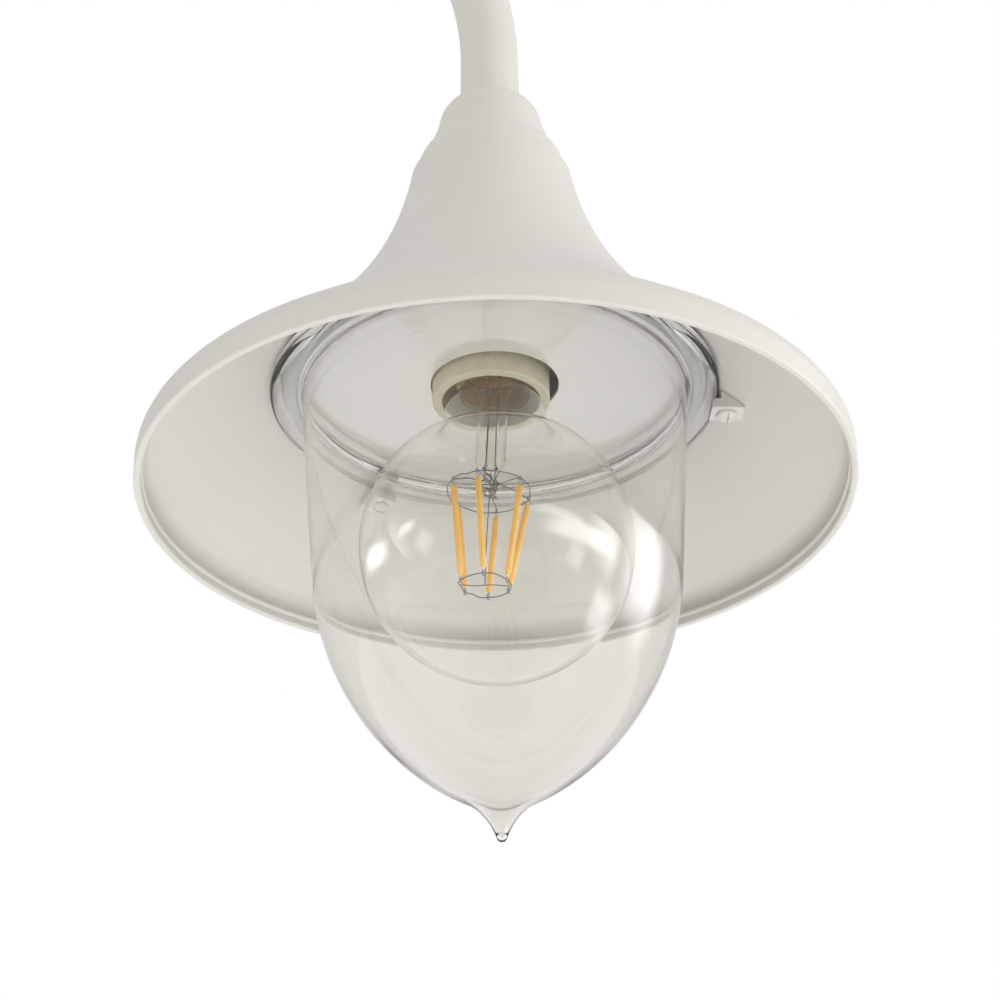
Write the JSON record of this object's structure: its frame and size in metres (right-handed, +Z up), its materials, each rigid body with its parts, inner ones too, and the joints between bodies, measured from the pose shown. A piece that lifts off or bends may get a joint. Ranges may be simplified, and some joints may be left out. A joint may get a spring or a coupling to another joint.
{
  "type": "outdoor lamp post",
  "caption": "Outdoor lamp post: stepped tube on a bolted foot, swan neck, and a hanging trumpet hood with a pointed clear glass over a filament globe bulb.",
  "frame": {"origin": "centre of the foot flange on the ground plane, at the middle of the anchor bolt circle", "axes": "+Z up along the post, +X from the post towards the hanging lamp head, +Y completes a right-handed frame"},
  "size_m": [0.5, 0.25, 2.1999],
  "materials": {
    "cream_paint": "satin off-white paint",
    "gloss_white": "gloss white enamel",
    "zinc_steel": "zinc-plated steel",
    "holder_plastic": "heat-proof plastic",
    "holder_ceramic": "unglazed ceramic",
    "contact_brass": "plain brass",
    "gasket_rubber": "pale silicone",
    "shade_glass": "clear blown glass",
    "bulb_glass": "clear thin glass",
    "cap_metal": "nickel-plated cap",
    "cap_insulation": "black insulator",
    "filament_amber": "amber phosphor coating",
    "lead_wire": "nickel wire"
  },
  "bodies": {
    "post": {"ground_flange": "cream_paint", "lower_tube": "cream_paint", "step_collar": "cream_paint", "upper_tube": "cream_paint", "top_collar": "cream_paint", "swan_neck": "cream_paint", "neck_cap": "cream_paint", "neck_ring": "cream_paint", "hood": "cream_paint", "glass_clip_1": "cream_paint", "glass_clip_2": "cream_paint", "glass_clip_3": "cream_paint", "clip_screws": "cream_paint", "reflector_plate": "gloss_white", "step_collar_screws": "zinc_steel", "top_collar_screws": "zinc_steel", "cap_screw": "zinc_steel", "nipple": "zinc_steel", "nipple_washer": "zinc_steel", "nipple_nut": "zinc_steel", "terminal_screws": "zinc_steel", "holder_skirt": "holder_plastic", "holder_dome": "holder_plastic", "holder_core": "holder_ceramic", "screw_shell": "contact_brass", "centre_contact": "contact_brass", "glass_gasket": "gasket_rubber", "glass_shade": "shade_glass"},
    "bulb": {"bulb_envelope": "bulb_glass", "bulb_cap": "cap_metal", "cap_insulator": "cap_insulation", "cap_contact": "contact_brass", "bulb_stem": "bulb_glass", "filaments": "filament_amber", "upper_wire_ring": "lead_wire", "lower_wire_ring": "lead_wire", "centre_wire": "lead_wire", "top_wires": "lead_wire"},
    "cover": {"base_cover": "cream_paint"}
  },
  "joints": [
    {"name": "bulb_turn", "type": "hinge", "parent": "post", "child": "bulb", "pos_m": [0.28, 0, 1.85855], "axis": [0, 0, -1], "range_deg": [0, 1080]},
    {"name": "cover_lift", "type": "slide", "parent": "post", "child": "cover", "axis": [0, 0, 1], "range_m": [0, 0.75]}
  ]
}
